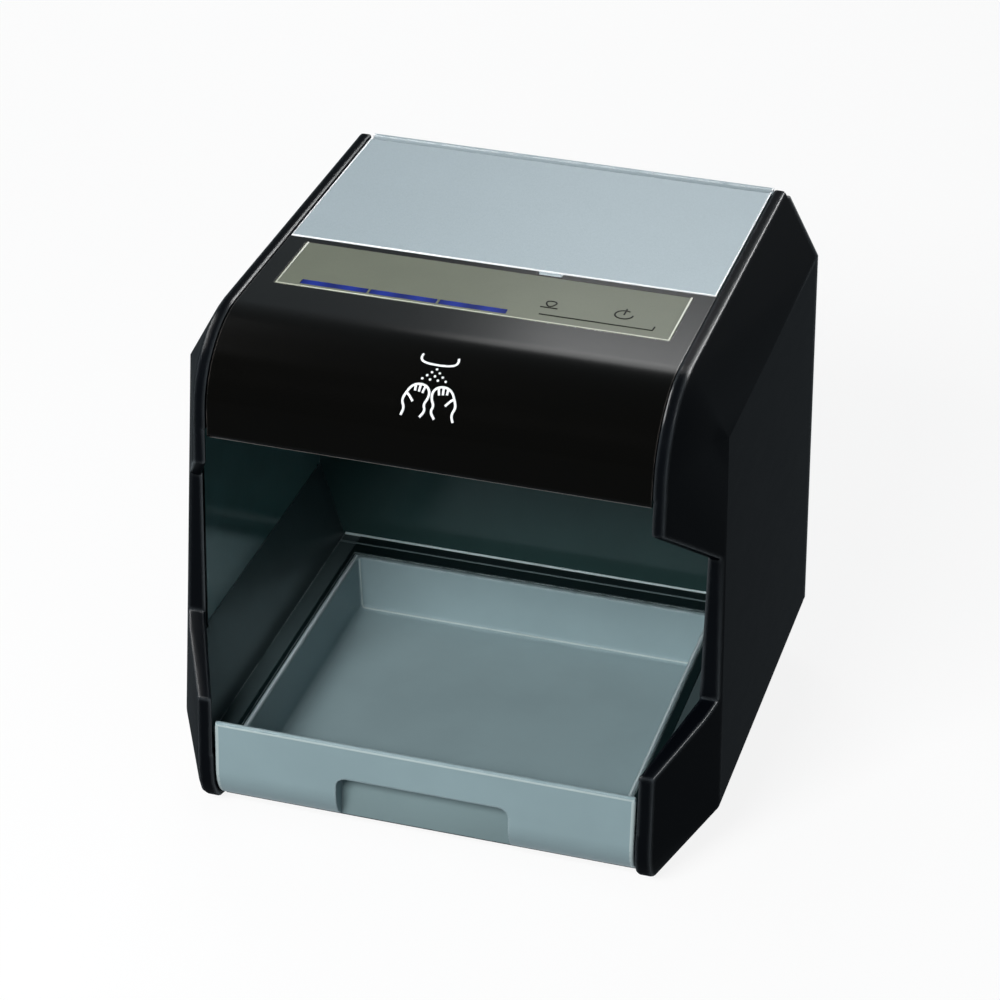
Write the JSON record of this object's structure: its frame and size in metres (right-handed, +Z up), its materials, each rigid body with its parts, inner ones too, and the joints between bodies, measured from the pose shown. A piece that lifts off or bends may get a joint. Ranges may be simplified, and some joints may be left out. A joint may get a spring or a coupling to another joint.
{
  "type": "automatic hand sanitizer dispenser",
  "caption": "Table-top hand sanitizer dispenser: an open-fronted cabinet with a spray nozzle in its roof, a lidded tank, a drip tray that slides out and a gear pump behind the cavity.",
  "frame": {"origin": "on the table under the middle of the housing's width and depth, level with the underside of the feet", "axes": "+X to the side of the housing that is on the right in a front view, -Y out of the open front, +Z up"},
  "size_m": [0.272, 0.248, 0.26],
  "materials": {
    "cover_black": "black moulded plastic with a soft satin sheen",
    "hood_gloss": "high-gloss brown-black plastic",
    "window_olive": "olive-grey satin display lens",
    "light_blue": "deep blue light guide",
    "lid_silver": "silver-grey painted plastic, fine satin",
    "liner_smoke": "dark green-grey gloss plastic",
    "tray_grey": "blue-grey moulded plastic, satin",
    "base_black": "black moulded plastic, matt",
    "rubber_black": "matt black rubber",
    "tank_clear": "milky natural plastic",
    "cap_white": "white moulded plastic",
    "board_green": "green circuit board lacquer",
    "steel": "bright plated steel",
    "pump_grey": "mid-grey moulded plastic",
    "gear_cream": "cream gear plastic",
    "tube_clear": "milky soft hose",
    "lens_dark": "dark infrared lens"
  },
  "bodies": {
    "chassis": {"side_cover_left": "cover_black", "side_cover_right": "cover_black", "rear_cover": "cover_black", "base_plate": "base_black", "foot_front_left": "rubber_black", "foot_front_right": "rubber_black", "foot_rear_left": "rubber_black", "foot_rear_right": "rubber_black", "hood_cover": "hood_gloss", "control_window": "window_olive", "light_guide": "light_blue", "display_board": "board_green", "upper_deck": "liner_smoke", "liner_left": "liner_smoke", "liner_right": "liner_smoke", "liner_back": "liner_smoke", "tray_ledge": "liner_smoke", "hinge_bracket_left": "base_black", "hinge_bracket_right": "base_black", "hinge_pin_left": "steel", "hinge_pin_right": "steel", "tank": "tank_clear", "tank_top": "tank_clear", "nozzle_body": "pump_grey", "nozzle_tip": "cap_white", "sensor_lens_left": "lens_dark", "sensor_lens_right": "lens_dark", "sensor_board": "board_green", "pump_housing": "pump_grey", "pump_cover": "pump_grey", "motor": "steel", "motor_cradle": "base_black", "suction_tube": "tube_clear", "spray_tube": "tube_clear", "main_board": "board_green", "power_jack": "base_black", "switch_frame": "base_black", "base_screw_left": "steel", "base_screw_right": "steel", "rear_screw_lower_left": "steel", "rear_screw_lower_right": "steel", "rear_screw_upper_left": "steel", "rear_screw_upper_right": "steel"},
    "tray": {"drip_tray": "tray_grey"},
    "lid": {"lid": "lid_silver"},
    "cap": {"tank_cap": "cap_white", "cap_seal": "rubber_black"},
    "drive": {"drive_gear": "gear_cream", "motor_shaft": "steel"},
    "driven": {"driven_gear": "gear_cream"},
    "rocker": {"rocker": "base_black"}
  },
  "joints": [
    {"name": "tray_slide", "type": "slide", "parent": "chassis", "child": "tray", "axis": [0, -1, 0], "range_m": [0, 0.16]},
    {"name": "lid_hinge", "type": "hinge", "parent": "chassis", "child": "lid", "pos_m": [0, 0.113, 0.253], "axis": [-1, 0, 0], "range_deg": [0, 100]},
    {"name": "cap_turn", "type": "hinge", "parent": "chassis", "child": "cap", "pos_m": [0.045, 0.054, 0.2476], "axis": [0, 0, 1], "range_deg": [0, 90]},
    {"name": "drive_spin", "type": "hinge", "parent": "chassis", "child": "drive", "pos_m": [0.026, 0.10695, 0.025], "axis": [1, 0, 0], "continuous": true},
    {"name": "driven_spin", "type": "hinge", "parent": "chassis", "child": "driven", "pos_m": [0.026, 0.10695, 0.0346], "axis": [1, 0, 0], "continuous": true},
    {"name": "rocker_tilt", "type": "hinge", "parent": "chassis", "child": "rocker", "pos_m": [-0.05733, 0.11625, 0.039], "axis": [0, 0, 1], "range_deg": [0, 16]}
  ],
  "couplings": [
    {"joint": "driven_spin", "follows": "drive_spin", "ratio": -1}
  ]
}
